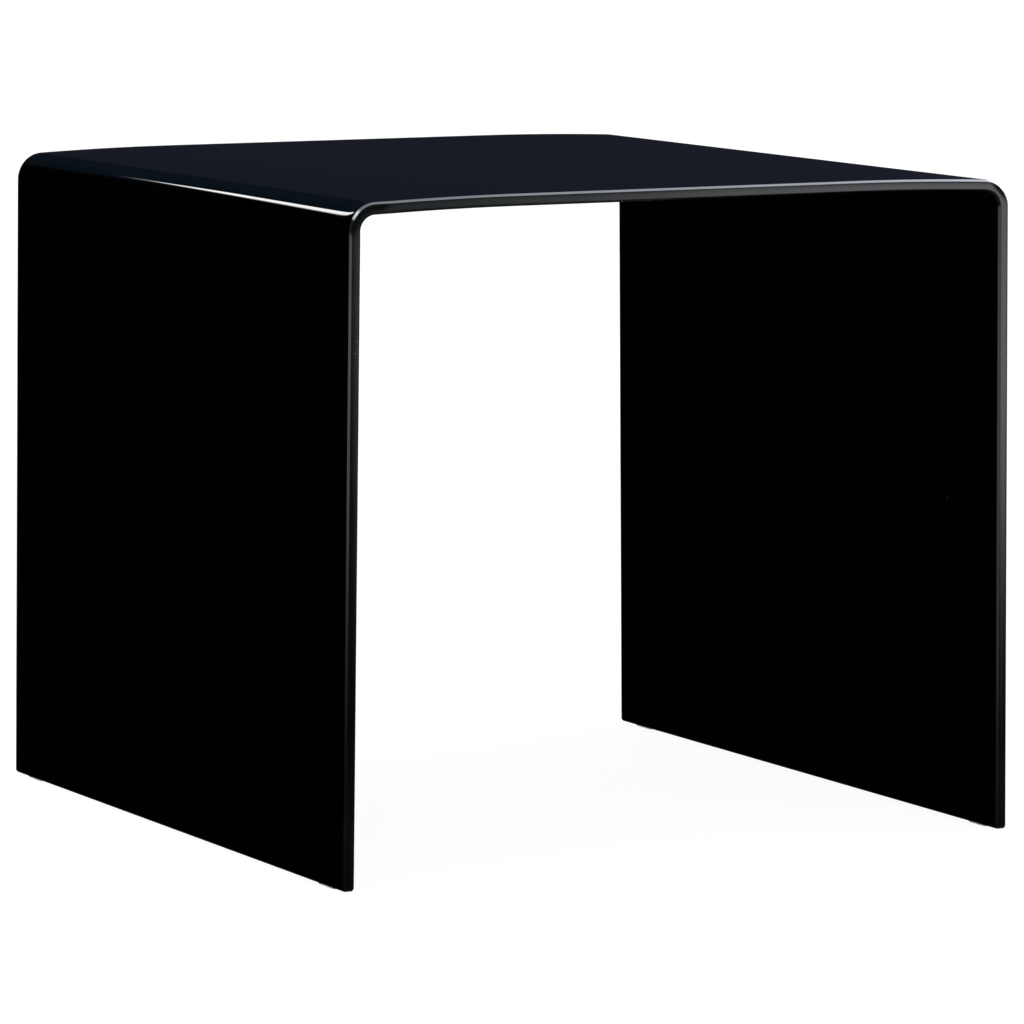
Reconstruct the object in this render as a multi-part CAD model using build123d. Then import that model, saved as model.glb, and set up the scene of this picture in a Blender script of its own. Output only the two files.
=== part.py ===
from build123d import *

import math
import os

# A side table made of one sheet of glass, bent into an upside-down U: a top and two legs.
# Millimetres. X runs from leg to leg, Y along the bends, Z up. The origin is on the floor,
# under the middle of the top.

# Driving dimensions
HEIGHT = 450.0  # floor to the flat of the top
WIDTH = 500.0  # over the legs' outer faces, carried up to the level of the top
DEPTH = 525.0  # along the bends
GLASS = 8.0  # thickness of the sheet
BEND_OUTER = 19.0  # radius of each bend, on the outer face
LEG_LEAN = 0.63  # degrees that each leg leans outwards
FALL_RADIUS = 2400.0  # the slow curve by which the top sinks towards each bend, on the outer face
FALL_ANGLE = 2.5  # degrees that the slow curve turns before the bend takes over
ARRIS = 1.4  # the flat ground along every edge of the sheet
CORNER = 2.0  # radius of the four corners of the sheet, at the feet
COAT = 0.2  # thickness of the black coat on the inner face
COAT_MARGIN = 2.0  # bare glass between the coat and the edges of the sheet
PAD_HEIGHT = 1.0  # the clear pads between the glass and the floor
PAD_WIDTH = 4.4
PAD_LENGTH = 24.0
PAD_INSET = 30.0  # from the front or back edge of the sheet to the middle of a pad
PAD_EDGE = 0.3  # the soft edge around the bottom of a pad

# Worked out from them
BEND_ANGLE = 90.0 - FALL_ANGLE - LEG_LEAN
LEG_LINE_SLOPE = math.tan(math.radians(LEG_LEAN))
FOOT_Z = PAD_HEIGHT


def bend_span():
    """How far the slow curve and the bend reach, sideways and down, on the outer face."""
    fall = math.radians(FALL_ANGLE)
    turned = math.radians(FALL_ANGLE + BEND_ANGLE)
    across = FALL_RADIUS * math.sin(fall) + BEND_OUTER * (math.sin(turned) - math.sin(fall))
    down = FALL_RADIUS * (1 - math.cos(fall)) + BEND_OUTER * (math.cos(fall) - math.cos(turned))
    return across, down


def flat_half_width():
    """Half the width of the flat of the top. It leaves the legs WIDTH apart at the top's level."""
    across, down = bend_span()
    return WIDTH / 2 + down * LEG_LINE_SLOPE - across


def surface_line(depth, end_z):
    """The section's line at a depth under the outer face: from leg to leg, each ending at end_z."""
    half = flat_half_width()
    flat = Line((-half, HEIGHT - depth), (half, HEIGHT - depth))
    fall = JernArc(flat @ 1, flat % 1, FALL_RADIUS - depth, -FALL_ANGLE)
    bend = JernArc(fall @ 1, fall % 1, BEND_OUTER - depth, -BEND_ANGLE)
    start = bend @ 1
    leg = Line(start, (start.X + (start.Y - end_z) * LEG_LINE_SLOPE, end_z))
    right = [fall, bend, leg]
    left = [mirror(line, Plane.YZ) for line in right]
    return leg @ 1, [flat, *right, *left]


def bent_layer(upper_depth, lower_depth, end_z, depth_y):
    """The solid between two such lines, extruded along the bends, half of it each way from the middle."""
    outer_end, outer = surface_line(upper_depth, end_z)
    inner_end, inner = surface_line(lower_depth, end_z)
    right_foot = Line(outer_end, inner_end)
    left_foot = mirror(right_foot, Plane.YZ)
    section = make_face(Curve() + [*outer, *inner, right_foot, left_foot])
    return extrude(Plane.XZ * section, depth_y / 2, both=True)


def rim_edges(sheet):
    """The edges between the sheet's broad faces and its rim, without those across its thickness."""
    ends = sheet.faces().filter_by(Axis.Y)
    feet = sheet.faces().filter_by(Axis.Z).group_by(Axis.Z)[0]
    corners = sheet.faces().filter_by(lambda face: face.radius and abs(face.radius - CORNER) < 0.01)
    edges = [edge for face in [*ends, *feet, *corners] for edge in face.edges()]
    return [edge for edge in edges if edges.count(edge) == 1]


def glass_sheet():
    """The bent sheet, with its corners rounded and an arris ground along every edge."""
    sheet = bent_layer(0, GLASS, FOOT_Z, DEPTH)
    across = sheet.edges().filter_by(Axis.X).group_by(Axis.Z)[0]
    sheet = fillet(across, CORNER)
    return chamfer(rim_edges(sheet), ARRIS)


def black_coat():
    """The opaque coat fired on the inner face, short of the edges all round."""
    return bent_layer(GLASS, GLASS + COAT, FOOT_Z + COAT_MARGIN, DEPTH - 2 * COAT_MARGIN)


def floor_pad(side, end):
    """One clear pad under a foot. side is -1 for left and 1 for right, end is -1 for front and 1 for back."""
    outer_end, _ = surface_line(0, FOOT_Z)
    outline = SlotOverall(PAD_LENGTH, PAD_WIDTH, rotation=90)
    pad = extrude(outline, PAD_HEIGHT)
    pad = chamfer(pad.faces().sort_by(Axis.Z)[0].edges(), PAD_EDGE)
    foot_x = outer_end.X - GLASS / 2
    return Pos(side * foot_x, end * (DEPTH / 2 - PAD_INSET), 0) * pad


nodes = {
    "glass_sheet": glass_sheet(),
    "black_coat": black_coat(),
}
for side_name, side in (("left", -1), ("right", 1)):
    for end_name, end in (("front", -1), ("back", 1)):
        nodes[f"pad_{end_name}_{side_name}"] = floor_pad(side, end)

os.makedirs("parts", exist_ok=True)
for name, solid in nodes.items():
    export_step(solid, f"parts/{name}.step")
    print(name, round(solid.volume), "mm3", solid.bounding_box().size)
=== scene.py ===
import math

import bpy
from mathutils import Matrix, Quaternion, Vector


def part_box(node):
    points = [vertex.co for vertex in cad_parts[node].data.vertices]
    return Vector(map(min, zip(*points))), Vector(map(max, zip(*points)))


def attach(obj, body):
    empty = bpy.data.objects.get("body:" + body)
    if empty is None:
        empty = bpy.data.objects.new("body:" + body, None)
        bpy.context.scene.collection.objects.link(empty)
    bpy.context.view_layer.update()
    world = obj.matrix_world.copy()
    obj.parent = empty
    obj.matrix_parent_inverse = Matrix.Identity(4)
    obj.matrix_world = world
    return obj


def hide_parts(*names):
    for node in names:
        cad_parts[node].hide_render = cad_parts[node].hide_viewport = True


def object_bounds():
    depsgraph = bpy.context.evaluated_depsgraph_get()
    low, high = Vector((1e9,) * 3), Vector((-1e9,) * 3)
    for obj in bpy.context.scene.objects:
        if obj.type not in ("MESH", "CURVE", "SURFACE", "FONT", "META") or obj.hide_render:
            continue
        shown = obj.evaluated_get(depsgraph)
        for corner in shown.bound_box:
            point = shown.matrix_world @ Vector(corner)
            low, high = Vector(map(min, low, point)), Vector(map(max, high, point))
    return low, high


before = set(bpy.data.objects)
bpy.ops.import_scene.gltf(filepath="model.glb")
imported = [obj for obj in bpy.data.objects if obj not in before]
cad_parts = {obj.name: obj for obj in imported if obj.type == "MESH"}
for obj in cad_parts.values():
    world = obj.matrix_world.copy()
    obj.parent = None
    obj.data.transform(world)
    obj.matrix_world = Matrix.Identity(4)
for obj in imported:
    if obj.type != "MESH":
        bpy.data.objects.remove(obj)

# A side table made of one sheet of black glass bent into an upside-down U. Metres, in the frame of
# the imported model: X from leg to leg, Y along the bends, Z up, the origin on the floor.

CAD_BOX = [list(corner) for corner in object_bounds()]
SHEET_LOW, SHEET_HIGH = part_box("glass_sheet")
COAT_LOW, COAT_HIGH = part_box("black_coat")

# The sheet's make, as in the CAD model
GLASS = 0.008  # thickness
BEND_OUTER = 0.019  # radius of each bend on the outer face
LEG_LEAN = math.radians(0.63)
FALL_RADIUS = 2.4  # the slow curve by which the top sinks towards each bend
FALL_ANGLE = math.radians(2.5)
ARRIS = 0.0014  # the ground flat along every edge
CORNER = 0.002  # radius of the sheet's corners, at the feet
SOFT_EDGE = 0.00025  # radius left by the polishing belt where two ground faces meet
RIM_CROWN = math.radians(1.1)  # how far the polished rim falls away at either side of its middle
COAT = 0.0002  # thickness of the coat on the inner face
COAT_CORNER = 0.002  # radius of the coat's corners
COAT_FEATHER = 0.0015  # the width over which the coat thins away to nothing at its edge

# What bending does to the sheet's front edge, only at the two bends: the outer face flares up, and the
# outer side of the rim is drawn back. Where two values are given, they are for the left (-1) and the
# right (1) bend.
FLARE_RISE = 0.00024
FLARE_REACH = 0.0035  # the distance from the edge over which the rise dies away
DRAW_BACK = 0.00025
DRAW_REACH = 0.03  # the distance from the edge over which the drawing back dies away
DRAW_POWER = {-1: 1, 1: 2}  # 1 where the rim leans back evenly, 2 where its outer side is rounded
FLARE_START = {-1: -0.3, 1: 0.3}  # where both are half way in, as a part of the bend
FLARE_END = {-1: 1.0, 1: 0.75}  # where both are half way out
FLARE_BLEND = 0.012  # the length along the sheet over which they come and go

# How finely the sheet is cut: the strips along it, the steps round a corner, and the rows from its front
# and back edges inwards
FLAT_STEPS, FALL_STEPS, NEAR_BEND_STEPS, BEND_STEPS, LEG_STEPS = 4, 12, 12, 48, 9
NEAR_BEND = 1.5 * FLARE_BLEND  # the length on either side of a bend that is cut finer, for the flare
CORNER_STEPS = 6
ROWS_FROM_EDGE = (0.0015, 0.003, 0.005, 0.0075, 0.011, 0.016, 0.025, 0.05)

# Worked out from the frame
TOP_Z = SHEET_HIGH.z
FOOT_Z = SHEET_LOW.z
HALF_DEPTH = SHEET_HIGH.y
BEND_ANGLE = math.pi / 2 - FALL_ANGLE - LEG_LEAN
BEND_LENGTH = BEND_OUTER * BEND_ANGLE


# ---------------------------------------------------------------- the bent sheet

def fall_and_bend():
    """How far the slow curve and the bend reach together, sideways and down, on the outer face."""
    turned = FALL_ANGLE + BEND_ANGLE
    across = FALL_RADIUS * math.sin(FALL_ANGLE)
    across += BEND_OUTER * (math.sin(turned) - math.sin(FALL_ANGLE))
    down = FALL_RADIUS * (1 - math.cos(FALL_ANGLE))
    down += BEND_OUTER * (math.cos(FALL_ANGLE) - math.cos(turned))
    return across, down


def sheet_spans():
    """Half of the outer face, from the middle of the top to a foot: (length, radius or None, steps)."""
    across, down = fall_and_bend()
    leg_drop = TOP_Z - FOOT_Z - down
    flat = SHEET_HIGH.x - leg_drop * math.tan(LEG_LEAN) - across
    return [
        (flat, None, FLAT_STEPS),
        (FALL_RADIUS * FALL_ANGLE - NEAR_BEND, FALL_RADIUS, FALL_STEPS),
        (NEAR_BEND, FALL_RADIUS, NEAR_BEND_STEPS),
        (BEND_LENGTH, BEND_OUTER, BEND_STEPS),
        (NEAR_BEND, None, NEAR_BEND_STEPS),
        (leg_drop / math.cos(LEG_LEAN) - NEAR_BEND, None, LEG_STEPS),
    ]


SPANS = sheet_spans()
HALF_LENGTH = sum(length for length, _, _ in SPANS)
BEND_START = sum(length for length, _, _ in SPANS[:3])


def outer_face(along):
    """A point of the outer face by its distance from the middle of the top: its x, z and the turn there."""
    side = -1 if along < 0 else 1
    left_over = abs(along)
    x, z, turn = 0.0, TOP_Z, 0.0
    for length, radius, _ in SPANS:
        step = min(left_over, length)
        if radius:
            turned = turn + step / radius
            x += radius * (math.sin(turned) - math.sin(turn))
            z -= radius * (math.cos(turn) - math.cos(turned))
            turn = turned
        else:
            x += step * math.cos(turn)
            z -= step * math.sin(turn)
        left_over -= step
    return side * x, z, side * turn


def smooth_step(share):
    """Carries 0 to 0 and 1 to 1 with level ends, and holds what lies outside."""
    share = min(max(share, 0.0), 1.0)
    return share * share * (3 - 2 * share)


def flare(along, y, depth):
    """The flare at a place of the flat sheet: how far it rises and is drawn back, and the slopes of both."""
    side = -1 if along < 0 else 1
    start = BEND_START + FLARE_START[side] * BEND_LENGTH
    end = BEND_START + FLARE_END[side] * BEND_LENGTH
    coming = smooth_step((abs(along) - start) / FLARE_BLEND + 0.5)
    going = smooth_step((end - abs(along)) / FLARE_BLEND + 0.5)
    from_edge = y + HALF_DEPTH
    rise = FLARE_RISE * coming * going * math.exp(-from_edge / FLARE_REACH)
    outer_draw = DRAW_BACK * coming * going * math.exp(-from_edge / DRAW_REACH)
    up_share = max(1 - depth / GLASS, 0.0)
    power = DRAW_POWER[side]
    drawn = outer_draw * up_share ** power
    draw_slope = outer_draw * power * up_share ** (power - 1) / GLASS
    return rise, drawn, rise / FLARE_REACH, draw_slope


def bend_point(along, y, depth):
    """Takes a point of the flat sheet to its place on the bent one. The feet are cut level with the floor."""
    level_cut = 1 - depth * math.tan(LEG_LEAN) / HALF_LENGTH
    x, z, turn = outer_face(along * level_cut)
    rise, drawn, _, _ = flare(along, y, depth)
    under = depth - rise
    return Vector((x - under * math.sin(turn), y + drawn, z - under * math.cos(turn)))


def bend_direction(along, y, depth, direction):
    """Turns a direction (along, y, up) of the flat sheet as the bend and the flare turn it."""
    turn = outer_face(along)[2]
    ahead, out_y, up = direction
    _, _, rise_slope, draw_slope = flare(along, y, depth)
    out_y, up = out_y + rise_slope * up, up - draw_slope * out_y
    return Vector((
        ahead * math.cos(turn) + up * math.sin(turn),
        out_y,
        up * math.cos(turn) - ahead * math.sin(turn),
    ))


def marks_along(end):
    """Distances along the sheet where it is cut into strips, all short of -end and end by a corner."""
    marks, start = [0.0], 0.0
    for length, _, steps in SPANS:
        marks += [start + length * (step + 1) / steps for step in range(steps)]
        start += length
    inside = [mark for mark in marks if mark < end - CORNER]
    return [-mark for mark in reversed(inside[1:])] + inside


def outline(half_length, half_depth, corner, inset):
    """The front half of a loop around the flat sheet, from the left foot to the right one.

    Each point is (along, y, outward along, outward y). The back half is its mirror image. inset is how
    far the loop lies inside the sheet's own outline.
    """
    centre_along, centre_y = half_length - corner, -(half_depth - corner)
    radius = corner - inset
    left = []
    for step in range(CORNER_STEPS + 1):
        angle = math.pi / 2 * step / CORNER_STEPS
        ahead, out_y = -math.cos(angle), -math.sin(angle)
        left.append((-centre_along + radius * ahead, centre_y + radius * out_y, ahead, out_y))
    front_y = -(half_depth - inset)
    front = [(mark, front_y, 0.0, -1.0) for mark in marks_along(centre_along)]
    right = [(-along, y, -ahead, out_y) for along, y, ahead, out_y in reversed(left)]
    return left + front + right


def edge_profile(thickness, arris, soft, crown):
    """The sheet's edge in section, from its outer face to its inner one: (inset, depth, out, up).

    A soft corner lies at either end of the 45 degree arris. Each is drawn by three points, given by how
    many degrees the surface faces up there. At 0, where the rim starts, it faces up by the crown instead.
    """
    reach = arris + soft * math.tan(math.pi / 8)
    crown_drop = (thickness / 2 - reach) * math.tan(crown) / 2
    upper = []
    for centre_inset, centre_depth, first in ((reach, soft, 90.0), (soft, reach, 45.0)):
        for angle in (first, first - 22.5, first - 45.0):
            facing = math.radians(angle) if angle else crown
            inset = centre_inset - soft * math.cos(math.radians(angle)) + (0 if angle else crown_drop)
            depth = centre_depth - soft * math.sin(math.radians(angle))
            upper.append((inset, depth, math.cos(facing), math.sin(facing)))
    middle = [(0.0, thickness / 2, 1.0, 0.0)]
    lower = [(inset, thickness - depth, out, -up) for inset, depth, out, up in reversed(upper)]
    return upper + middle + lower


class SheetMesh:
    """Gathers the points and faces of a sheet that is made flat and then bent.

    start_depth is how deep under the glass's outer face its own outer face lies.
    """

    def __init__(self, start_depth):
        self.start_depth = start_depth
        self.points, self.normals, self.places = [], [], []
        self.faces, self.slots = [], []

    def point(self, along, y, depth, direction):
        """Adds a point of the flat sheet, with the direction its surface faces, and gives its number."""
        depth += self.start_depth
        self.points.append(bend_point(along, y, depth))
        self.normals.append(bend_direction(along, y, depth, direction).normalized())
        self.places.append((along, y, depth))
        return len(self.points) - 1

    def face(self, corners, slot):
        self.faces.append(corners)
        self.slots.append(slot)

    def build(self, name):
        """Makes the piece. Its point attribute "sheet" keeps each point's place on the flat sheet."""
        mesh = bpy.data.meshes.new(name)
        mesh.from_pydata(self.points, [], self.faces)
        place = mesh.attributes.new("sheet", "FLOAT_VECTOR", "POINT")
        place.data.foreach_set("vector", [value for spot in self.places for value in spot])
        for polygon, slot in zip(mesh.polygons, self.slots):
            polygon.use_smooth = True
            polygon.material_index = slot
        mesh.normals_split_custom_set_from_vertices(self.normals)
        return link(name, mesh)


def sheet_rings(sheet, half_length, half_depth, corner, profile, slot):
    """The worked edge of a sheet, as rings all round it. Gives the number of points in a ring."""
    for inset, depth, out, up in profile:
        front = outline(half_length, half_depth, corner, inset)
        back = [(along, -y, ahead, -out_y) for along, y, ahead, out_y in reversed(front)]
        for along, y, ahead, out_y in front + back:
            sheet.point(along, y, depth, (out * ahead, out * out_y, up))
    around = len(front + back)
    for start in range(0, (len(profile) - 1) * around, around):
        for k in range(around):
            a, b = start + k, start + (k + 1) % around
            sheet.face((a, a + around, b + around, b), slot)
    return around


def broad_face(sheet, ring_start, around, up, slot):
    """Fills a ring with strips from front to back, whose rows lie closer together near the edges.

    up is 1 for the outer face and -1 for the inner one.
    """
    columns = []
    for k in range(around // 2):
        front, back = ring_start + k, ring_start + around - 1 - k
        along, y, depth = sheet.places[front]
        depth -= sheet.start_depth
        inner = [y + row for row in ROWS_FROM_EDGE] + [0.0] + [-y - row for row in reversed(ROWS_FROM_EDGE)]
        columns.append([front] + [sheet.point(along, row_y, depth, (0, 0, up)) for row_y in inner] + [back])
    for left, right in zip(columns, columns[1:]):
        for row in range(len(left) - 1):
            corners = (left[row], right[row], right[row + 1], left[row + 1])
            sheet.face(corners if up > 0 else corners[::-1], slot)


def bent_sheet(name, half_length, half_depth, corner, profile, start_depth, face_slots):
    """A closed mesh of a bent sheet. face_slots are the material slots of its broad faces and its edges."""
    broad_slot, edge_slot = face_slots
    sheet = SheetMesh(start_depth)
    around = sheet_rings(sheet, half_length, half_depth, corner, profile, edge_slot)
    broad_face(sheet, 0, around, 1, broad_slot)
    broad_face(sheet, (len(profile) - 1) * around, around, -1, broad_slot)
    return sheet.build(name)


def link(name, mesh):
    """A new object with this mesh, in the scene."""
    piece = bpy.data.objects.new(name, mesh)
    bpy.context.scene.collection.objects.link(piece)
    return piece


# ---------------------------------------------------------------- node helpers

class Shader:
    """A material with its node tree and its surface shader."""

    def __init__(self, name):
        self.material = bpy.data.materials.new(name)
        self.material.use_nodes = True
        self.tree = self.material.node_tree
        self.surface = self.tree.nodes["Principled BSDF"]

    def set(self, **values):
        fill_inputs(self.tree, self.surface, values)


def plug(tree, socket, value):
    """Links another node's output to a socket, or sets the socket to a value."""
    if isinstance(value, bpy.types.NodeSocket):
        tree.links.new(value, socket)
    else:
        socket.default_value = value


def fill_inputs(tree, node, values):
    """Fills inputs by name, where an underscore stands for a space."""
    for name, value in values.items():
        label = name.replace("_", " ")
        plug(tree, next(socket for socket in node.inputs if socket.name == label and socket.enabled), value)


def add_node(tree, kind, inputs=None, **properties):
    """A new node with its properties set, and its inputs filled from a dictionary by name."""
    node = tree.nodes.new(kind)
    for name, value in properties.items():
        setattr(node, name, value)
    fill_inputs(tree, node, inputs or {})
    return node


def math_node(tree, operation, *values):
    """A Math node's result. Each value is a number or another node's output."""
    node = add_node(tree, "ShaderNodeMath", operation=operation)
    for socket, value in zip(node.inputs, values):
        plug(tree, socket, value)
    return node.outputs[0]


def ramp(tree, value, from_low, from_high, to_low=0.0, to_high=1.0, smooth=True):
    """A value carried from one range to another, held at the ends."""
    node = add_node(tree, "ShaderNodeMapRange", {
        "Value": value, "From_Min": from_low, "From_Max": from_high, "To_Min": to_low, "To_Max": to_high,
    }, interpolation_type="SMOOTHSTEP" if smooth else "LINEAR")
    return node.outputs[0]


def mix_colour(tree, share, first, second):
    """The first colour where share is 0, the second where it is 1. Each is three numbers or an output."""
    inputs = {"Factor": share}
    for name, value in (("A", first), ("B", second)):
        inputs[name] = value if isinstance(value, bpy.types.NodeSocket) else (*value, 1.0)
    node = add_node(tree, "ShaderNodeMix", inputs, data_type="RGBA")
    return next(output for output in node.outputs if output.enabled)


def sheet_place(tree, scale):
    """The place on the flat sheet, stretched by a scale for each of along, y and depth."""
    attribute = add_node(tree, "ShaderNodeAttribute", attribute_name="sheet")
    mapping = add_node(tree, "ShaderNodeMapping", {"Vector": attribute.outputs["Vector"], "Scale": scale})
    return mapping.outputs[0]


def noise(tree, vector, scale, detail, roughness=0.5):
    """A cloudy pattern about 0.5, with so many features to the metre."""
    node = add_node(tree, "ShaderNodeTexNoise", {
        "Vector": vector, "Scale": scale, "Detail": detail, "Roughness": roughness,
    })
    return node.outputs[0]


def bump(tree, height, strength, distance):
    """The normal of a surface roughened by a height."""
    return add_node(tree, "ShaderNodeBump", {
        "Height": height, "Strength": strength, "Distance": distance,
    }).outputs[0]


def specks(tree, vector, scale, size, share):
    """1 on a few small round specks, 0 elsewhere, one speck at most to each cell of a random pattern.

    scale is the number of cells to the metre, size a speck's radius as a part of a cell, and share the
    part of the cells that have one.
    """
    cells = add_node(tree, "ShaderNodeTexVoronoi", {"Vector": vector, "Scale": scale})
    dot = ramp(tree, cells.outputs["Distance"], size * 0.5, size, 1.0, 0.0)
    random = add_node(tree, "ShaderNodeSeparateColor", {"Color": cells.outputs["Color"]})
    chosen = math_node(tree, "GREATER_THAN", random.outputs[0], 1.0 - share)
    return math_node(tree, "MULTIPLY", dot, chosen)


# ---------------------------------------------------------------- materials

EVEN = (1.0, 1.0, 1.0)  # for a pattern that is not stretched along, across or through the sheet

# Colours, as linear red, green and blue
GLASS_CLEAN, GLASS_WIPED = (0.00025, 0.00028, 0.0004), (0.0006, 0.0007, 0.0010)
GLASS_DUST, DUST_ROUGHNESS = (0.16, 0.16, 0.17), 0.6
EDGE_DARK, EDGE_LIGHT = (0.0012, 0.0016, 0.0016), (0.003, 0.0042, 0.0041)
EDGE_CHIP = (0.10, 0.12, 0.12)
ENAMEL_DARK, ENAMEL_LIGHT = (0.0003, 0.0003, 0.0004), (0.0006, 0.0006, 0.0008)
ENAMEL_DUST = (0.12, 0.12, 0.12)
PAD_DARK, PAD_LIGHT = (0.86, 0.9, 0.89), (0.94, 0.96, 0.95)

# Refractive indices
GLASS_IOR, ENAMEL_IOR, PAD_IOR = 1.52, 1.5, 1.5


def black_glass():
    """Polished black glass: all but black below the surface, a clear reflection with the slow waves that
    tempering leaves, faint wipe marks, and a little dust."""
    shader = Shader("black_glass")
    tree = shader.tree
    even = sheet_place(tree, EVEN)
    wiped = sheet_place(tree, (0.25, 1.6, 1.0))
    wavy = sheet_place(tree, (1.0, 0.35, 1.0))
    wipe = ramp(tree, noise(tree, wiped, scale=22.0, detail=5.0, roughness=0.62), 0.45, 0.75)
    patches = ramp(tree, noise(tree, even, scale=5.0, detail=2.0), 0.42, 0.62)
    film = math_node(tree, "MULTIPLY", wipe, patches)
    dust = specks(tree, even, scale=95.0, size=0.05, share=0.05)
    colour = mix_colour(tree, dust, mix_colour(tree, film, GLASS_CLEAN, GLASS_WIPED), GLASS_DUST)
    roughness = ramp(tree, film, 0.0, 1.0, 0.012, 0.05, smooth=False)
    roughness = math_node(tree, "ADD", roughness, math_node(tree, "MULTIPLY", dust, DUST_ROUGHNESS))
    waves = noise(tree, wavy, scale=7.0, detail=1.0)
    shader.set(
        Base_Color=colour,
        Roughness=roughness,
        Normal=bump(tree, waves, strength=1.0, distance=0.00006),
        IOR=GLASS_IOR,
    )
    return shader.material


def glass_edge():
    """The ground and polished edge: a shade lighter and greener than the faces, with fine belt marks
    along the edge and a few tiny chips that catch the light."""
    shader = Shader("glass_edge")
    tree = shader.tree
    even = sheet_place(tree, EVEN)
    drawn_along = sheet_place(tree, (4.0, 4.0, 900.0))
    belt = noise(tree, drawn_along, scale=1.0, detail=4.0, roughness=0.6)
    cloud = noise(tree, even, scale=30.0, detail=3.0)
    chips = specks(tree, even, scale=260.0, size=0.16, share=0.03)
    colour = mix_colour(tree, ramp(tree, cloud, 0.35, 0.7), EDGE_DARK, EDGE_LIGHT)
    shader.set(
        Base_Color=mix_colour(tree, chips, colour, EDGE_CHIP),
        Roughness=ramp(tree, belt, 0.3, 0.7, 0.07, 0.12),
        Normal=bump(tree, belt, strength=0.35, distance=0.00002),
        IOR=GLASS_IOR,
    )
    return shader.material


def black_enamel():
    """The fired coat on the inner face: gloss black, a little softer than the glass, with fine orange
    peel and a little dust."""
    shader = Shader("black_enamel")
    tree = shader.tree
    even = sheet_place(tree, EVEN)
    peel = noise(tree, even, scale=700.0, detail=2.0)
    cloud = noise(tree, even, scale=12.0, detail=4.0)
    dust = specks(tree, even, scale=90.0, size=0.05, share=0.04)
    colour = mix_colour(tree, ramp(tree, cloud, 0.35, 0.7), ENAMEL_DARK, ENAMEL_LIGHT)
    shader.set(
        Base_Color=mix_colour(tree, dust, colour, ENAMEL_DUST),
        Roughness=ramp(tree, cloud, 0.3, 0.7, 0.05, 0.09),
        Normal=bump(tree, peel, strength=0.2, distance=0.00002),
        IOR=ENAMEL_IOR,
    )
    return shader.material


def clear_pad():
    """A clear soft pad, faintly cloudy."""
    shader = Shader("clear_pad")
    tree = shader.tree
    place = add_node(tree, "ShaderNodeTexCoord").outputs["Object"]
    cloud = ramp(tree, noise(tree, place, scale=400.0, detail=3.0), 0.3, 0.7)
    shader.set(
        Base_Color=mix_colour(tree, cloud, PAD_DARK, PAD_LIGHT),
        Roughness=ramp(tree, cloud, 0.0, 1.0, 0.12, 0.3, smooth=False),
        Transmission_Weight=1.0,
        IOR=PAD_IOR,
    )
    return shader.material


# ---------------------------------------------------------------- the table

def make_glass_sheet():
    """The bent sheet, with black glass for its broad faces. Its worked edge has a material of its own."""
    profile = edge_profile(GLASS, ARRIS, SOFT_EDGE, RIM_CROWN)
    sheet = bent_sheet("glass_sheet_bent", HALF_LENGTH, HALF_DEPTH, CORNER, profile, 0.0, (0, 1))
    sheet.data.materials.append(black_glass())
    sheet.data.materials.append(glass_edge())
    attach(sheet, "root")
    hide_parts("glass_sheet")


def feathered_edge(thickness, reach):
    """A coat's edge in section, thinning away to nothing against the face that it is on.

    Its points are (inset, depth, out, up). The depth is a smooth step, and slope is that step's slope.
    """
    section = []
    for share in (0.0, 0.2, 0.4, 0.6, 0.8, 1.0):
        slope = thickness / reach * 6 * share * (1 - share)
        steepness = math.hypot(slope, 1)
        section.append((reach * share, thickness * smooth_step(share), slope / steepness, -1 / steepness))
    return section


def make_black_coat():
    """The coat stops short of the sheet's edges, by the margin that the frame shows."""
    half_length = HALF_LENGTH - (COAT_LOW.z - FOOT_Z) / math.cos(LEG_LEAN)
    profile = feathered_edge(COAT, COAT_FEATHER)
    coat = bent_sheet("black_coat_fired", half_length, COAT_HIGH.y, COAT_CORNER, profile, GLASS, (0, 0))
    coat.data.materials.append(black_enamel())
    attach(coat, "root")
    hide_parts("black_coat")


# A pad's side, from the floor to the foot: (how far it is drawn in, the height as a share of the pad's)
PAD_SECTION = ((0.0004, 0.0), (0.00018, 0.06), (0.00004, 0.22), (0.0, 0.5), (0.00004, 0.82), (0.00012, 1.0))
PAD_END_STEPS = 16


def pad_loop(length, width, inset, z):
    """A loop with straight sides along Y and round ends, counter-clockwise from above."""
    radius, half_run = width / 2 - inset, (length - width) / 2
    loop = []
    for centre, start in ((half_run, 0.0), (-half_run, math.pi)):
        for step in range(PAD_END_STEPS + 1):
            angle = start + math.pi * step / PAD_END_STEPS
            loop.append((radius * math.cos(angle), centre + radius * math.sin(angle), z))
    return loop


def make_pad(node, material):
    """A clear pad pressed between the foot and the floor, flat above and below, with a swelling side."""
    low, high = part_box(node)
    centre, size = (low + high) / 2, high - low
    points, faces = [], []
    for inset, share in PAD_SECTION:
        points += pad_loop(size.y, size.x, inset, size.z * share)
    around = len(points) // len(PAD_SECTION)
    for ring in range(len(PAD_SECTION) - 1):
        for k in range(around):
            a, b = ring * around + k, ring * around + (k + 1) % around
            faces.append((a, b, b + around, a + around))
    faces.append(tuple(reversed(range(around))))
    faces.append(tuple(range(len(points) - around, len(points))))
    floor_point = Vector((centre.x, centre.y, low.z))
    mesh = bpy.data.meshes.new(node + "_clear")
    mesh.from_pydata([Vector(point) + floor_point for point in points], [], faces)
    for polygon in mesh.polygons:
        polygon.use_smooth = len(polygon.vertices) == 4
    mesh.materials.append(material)
    pad = link(node + "_clear", mesh)
    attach(pad, "root")
    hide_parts(node)


# ---------------------------------------------------------------- the studio

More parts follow.
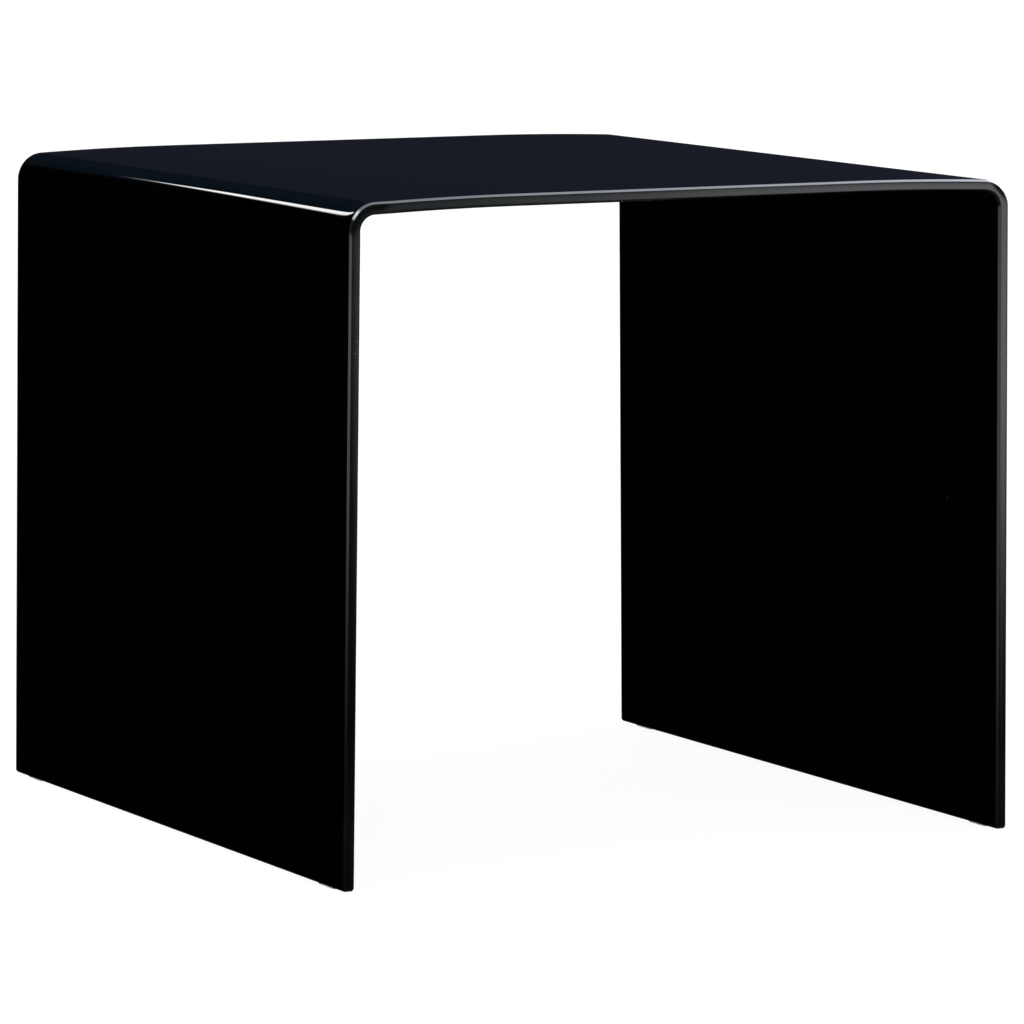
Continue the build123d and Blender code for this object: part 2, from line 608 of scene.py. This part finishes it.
# What the polished glass sees around it: softboxes, walls and glows. Each is given by its azimuth, from +Y
# towards +X, and its elevation, by how softly its low and high edge fade in azimuth and in elevation, all
# in degrees, and by its brightness and its colour. A limit beyond 180 degrees of azimuth or 90 degrees of
# elevation leaves that side open.
STUDIO_CARDS = (
    # the far wall behind the table, which the top and the left bend mirror, bluer higher up
    ((-11, 75), (0, 90), (4, 15), (2.5, 3), 1.0, (0.0100, 0.0150, 0.0240)),
    ((-11, 75), (-1, 8.0), (4, 15), (2.5, 3), 1.0, (0.0040, 0.0016, 0.0028)),
    ((32.7, 50), (0.5, 5), (0.8, 5), (1.0, 1.5), 1.0, (0.0120, 0.0110, 0.0140)),
    ((-11, 75), (21, 90), (4, 15), (4, 3), 1.0, (0.0030, 0.0130, 0.0190)),
    # the big softbox to the right, in the arris along the front of the top
    ((61, 112), (2.5, 57), (3, 6), (2, 8), 7.2, (0.95, 0.97, 1.08)),
    ((61, 112), (2.5, 49), (3, 6), (2, 5), 3.5, (1.0, 1.0, 1.0)),
    # the ceiling
    ((-200, 200), (46, 100), (1, 1), (4, 9), 3.5, (0.93, 0.97, 1.07)),
    # the softbox at the front left, in the arris of the left bend
    ((-142, -112), (34, 61), (5, 5), (3, 5), 12.0, (0.97, 1.0, 1.02)),
    # low light from the front right, in the front edges
    ((144.3, 150.0), (-7.4, -2.8), (1.0, 2.5), (0.8, 0.8), 2.4, (0.98, 1.0, 1.06)),
    ((150, 154.8), (-6.3, -3.0), (2.5, 1.2), (1.0, 0.8), 0.40, (0.90, 1.05, 1.12)),
    # low light from the front left
    ((-119.8, -115.2), (-6.8, -2.6), (1.0, 1.0), (1.0, 0.8), 2.0, (0.99, 0.99, 1.03)),
    ((-135, -120.2), (-9.2, -3.8), (4.0, 1.0), (1.5, 0.8), 1.2, (0.99, 0.99, 1.01)),
    # the dim floor at the sides and the front
    ((43, 200), (-100, -19), (5, 1), (1, 6), 0.09, (0.92, 0.98, 1.10)),
    ((-200, -43), (-100, -19), (1, 5), (1, 6), 0.09, (0.92, 0.98, 1.10)),
    # the dim room at the sides and the front
    ((60, 200), (2, 70), (18, 10), (10, 10), 0.16, (0.90, 0.97, 1.12)),
    ((-200, -45), (2, 70), (12, 10), (10, 10), 0.16, (0.90, 0.97, 1.12)),
)

# The narrow softbox behind, which draws the white line along the left bend. LINE_SAG is how many degrees
# its lower edge sags for each squared degree of azimuth from its right end.
LINE_LEFT, LINE_RIGHT = -24.0, -5.8
LINE_TOP, LINE_BOTTOM, LINE_SAG = 25.5, 24.7, 0.0235
LINE_FADE = 0.3  # along its top and bottom edges
LINE_END_FADES = (2.0, 0.6)  # at its left and right ends
LINE_BRIGHTNESS = 6.8

WHITE = (1.0, 1.0, 1.0)
FLOOR_GREY, FLOOR_GLOW = 0.14, 0.93
FLOOR_HALF = 20.0

# The camera, in degrees and metres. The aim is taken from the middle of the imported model's box.
CAMERA_AZIMUTH, CAMERA_ELEVATION, CAMERA_ROLL = -28.447, 7.252, 0.185
CAMERA_DISTANCE = 4.2921
CAMERA_AIM = (0.0102, 0.0, -0.0206)
CAMERA_LENS, CAMERA_SENSOR = 215.25, 36.0  # millimetres
CAMERA_REACH = 100.0


def band(tree, value, limits, soft):
    """1 between two limits and 0 outside. It fades on both sides of a limit, as far as soft says for each."""
    low, high = limits
    low_soft, high_soft = soft
    rise = ramp(tree, value, low - low_soft, low + low_soft)
    fall = ramp(tree, value, high - high_soft, high + high_soft, 1.0, 0.0)
    return math_node(tree, "MULTIPLY", rise, fall)


def line_softbox(tree, azimuth, elevation):
    """The shape of the narrow softbox, from 0 to 1."""
    from_right = math_node(tree, "SUBTRACT", azimuth, LINE_RIGHT)
    sag = math_node(tree, "MULTIPLY", math_node(tree, "MULTIPLY", from_right, from_right), LINE_SAG)
    raised = math_node(tree, "ADD", elevation, sag)
    above = ramp(tree, raised, LINE_BOTTOM - LINE_FADE, LINE_BOTTOM + LINE_FADE)
    below = ramp(tree, elevation, LINE_TOP - LINE_FADE, LINE_TOP + LINE_FADE, 1.0, 0.0)
    across = band(tree, azimuth, (LINE_LEFT, LINE_RIGHT), LINE_END_FADES)
    return math_node(tree, "MULTIPLY", math_node(tree, "MULTIPLY", above, below), across)


def tinted(tree, shape, brightness, tint):
    """A card's light: its shape, from 0 to 1, times its brightness and colour."""
    card = add_node(tree, "ShaderNodeVectorMath", operation="SCALE")
    plug(tree, card.inputs[0], [brightness * part for part in tint])
    plug(tree, card.inputs["Scale"], shape)
    return card.outputs[0]


def studio_world():
    """White to the camera and to matt surfaces. To a reflection it is a dark studio with its softboxes."""
    world = bpy.data.worlds.new("studio")
    world.use_nodes = True
    world.cycles.sampling_method = "NONE"  # it lights by the rays that reach it, not by being sampled
    bpy.context.scene.world = world
    tree = world.node_tree
    tree.nodes.clear()
    towards = add_node(tree, "ShaderNodeTexCoord").outputs["Generated"]
    parts = add_node(tree, "ShaderNodeSeparateXYZ", {"Vector": towards})
    x, y, z = parts.outputs
    azimuth = math_node(tree, "DEGREES", math_node(tree, "ARCTAN2", x, y))
    elevation = math_node(tree, "DEGREES", math_node(tree, "ARCSINE", z))
    total = tinted(tree, line_softbox(tree, azimuth, elevation), LINE_BRIGHTNESS, WHITE)
    for across, upright, soft_across, soft_upright, brightness, tint in STUDIO_CARDS:
        shape = math_node(
            tree, "MULTIPLY",
            band(tree, azimuth, across, soft_across),
            band(tree, elevation, upright, soft_upright),
        )
        added = add_node(tree, "ShaderNodeVectorMath", operation="ADD")
        plug(tree, added.inputs[0], total)
        plug(tree, added.inputs[1], tinted(tree, shape, brightness, tint))
        total = added.outputs[0]
    reflected = add_node(tree, "ShaderNodeBackground", {"Color": total, "Strength": 1.0})
    seen = add_node(tree, "ShaderNodeBackground", {"Color": (*WHITE, 1.0), "Strength": 1.0})
    is_reflection = add_node(tree, "ShaderNodeLightPath").outputs["Is Glossy Ray"]
    choice = add_node(tree, "ShaderNodeMixShader")
    for socket, value in zip(choice.inputs, (is_reflection, seen.outputs[0], reflected.outputs[0])):
        plug(tree, socket, value)
    add_node(tree, "ShaderNodeOutputWorld", {"Surface": choice.outputs[0]})


def studio_floor():
    """A plain white floor, glowing so that it stays pale under the table. The glass doesn't mirror it."""
    corners = [(x * FLOOR_HALF, y * FLOOR_HALF, 0.0) for x, y in ((-1, -1), (1, -1), (1, 1), (-1, 1))]
    mesh = bpy.data.meshes.new("floor")
    mesh.from_pydata(corners, [], [(0, 1, 2, 3)])
    floor = link("floor", mesh)
    shader = Shader("pale_floor")
    shader.set(
        Base_Color=(FLOOR_GREY, FLOOR_GREY, FLOOR_GREY, 1.0),
        Roughness=0.9,
        Specular_IOR_Level=0.0,
        Emission_Color=(*WHITE, 1.0),
        Emission_Strength=FLOOR_GLOW,
    )
    mesh.materials.append(shader.material)
    floor.visible_glossy = False
    floor.visible_diffuse = False


def camera():
    """A long lens from the front left, a little above the top, and very slightly rolled."""
    azimuth, elevation = math.radians(CAMERA_AZIMUTH), math.radians(CAMERA_ELEVATION)
    roll = Quaternion((0, 0, 1), math.radians(CAMERA_ROLL))
    low, high = Vector(CAD_BOX[0]), Vector(CAD_BOX[1])
    aim = (low + high) / 2 + Vector(CAMERA_AIM)
    back = Vector((
        math.sin(azimuth) * math.cos(elevation),
        -math.cos(azimuth) * math.cos(elevation),
        math.sin(elevation),
    ))
    data = bpy.data.cameras.new("camera")
    data.sensor_width = CAMERA_SENSOR
    data.lens = CAMERA_LENS
    data.clip_end = CAMERA_REACH
    eye = bpy.data.objects.new("camera", data)
    eye.location = aim + back * CAMERA_DISTANCE
    eye.rotation_mode = "QUATERNION"
    eye.rotation_quaternion = (-back).to_track_quat("-Z", "Y") @ roll
    bpy.context.scene.collection.objects.link(eye)
    bpy.context.scene.camera = eye


camera()
make_glass_sheet()
make_black_coat()
pad_material = clear_pad()
for pad_node in ("pad_front_left", "pad_front_right", "pad_back_left", "pad_back_right"):
    make_pad(pad_node, pad_material)
studio_floor()
studio_world()
bpy.context.scene.view_settings.view_transform = "Standard"
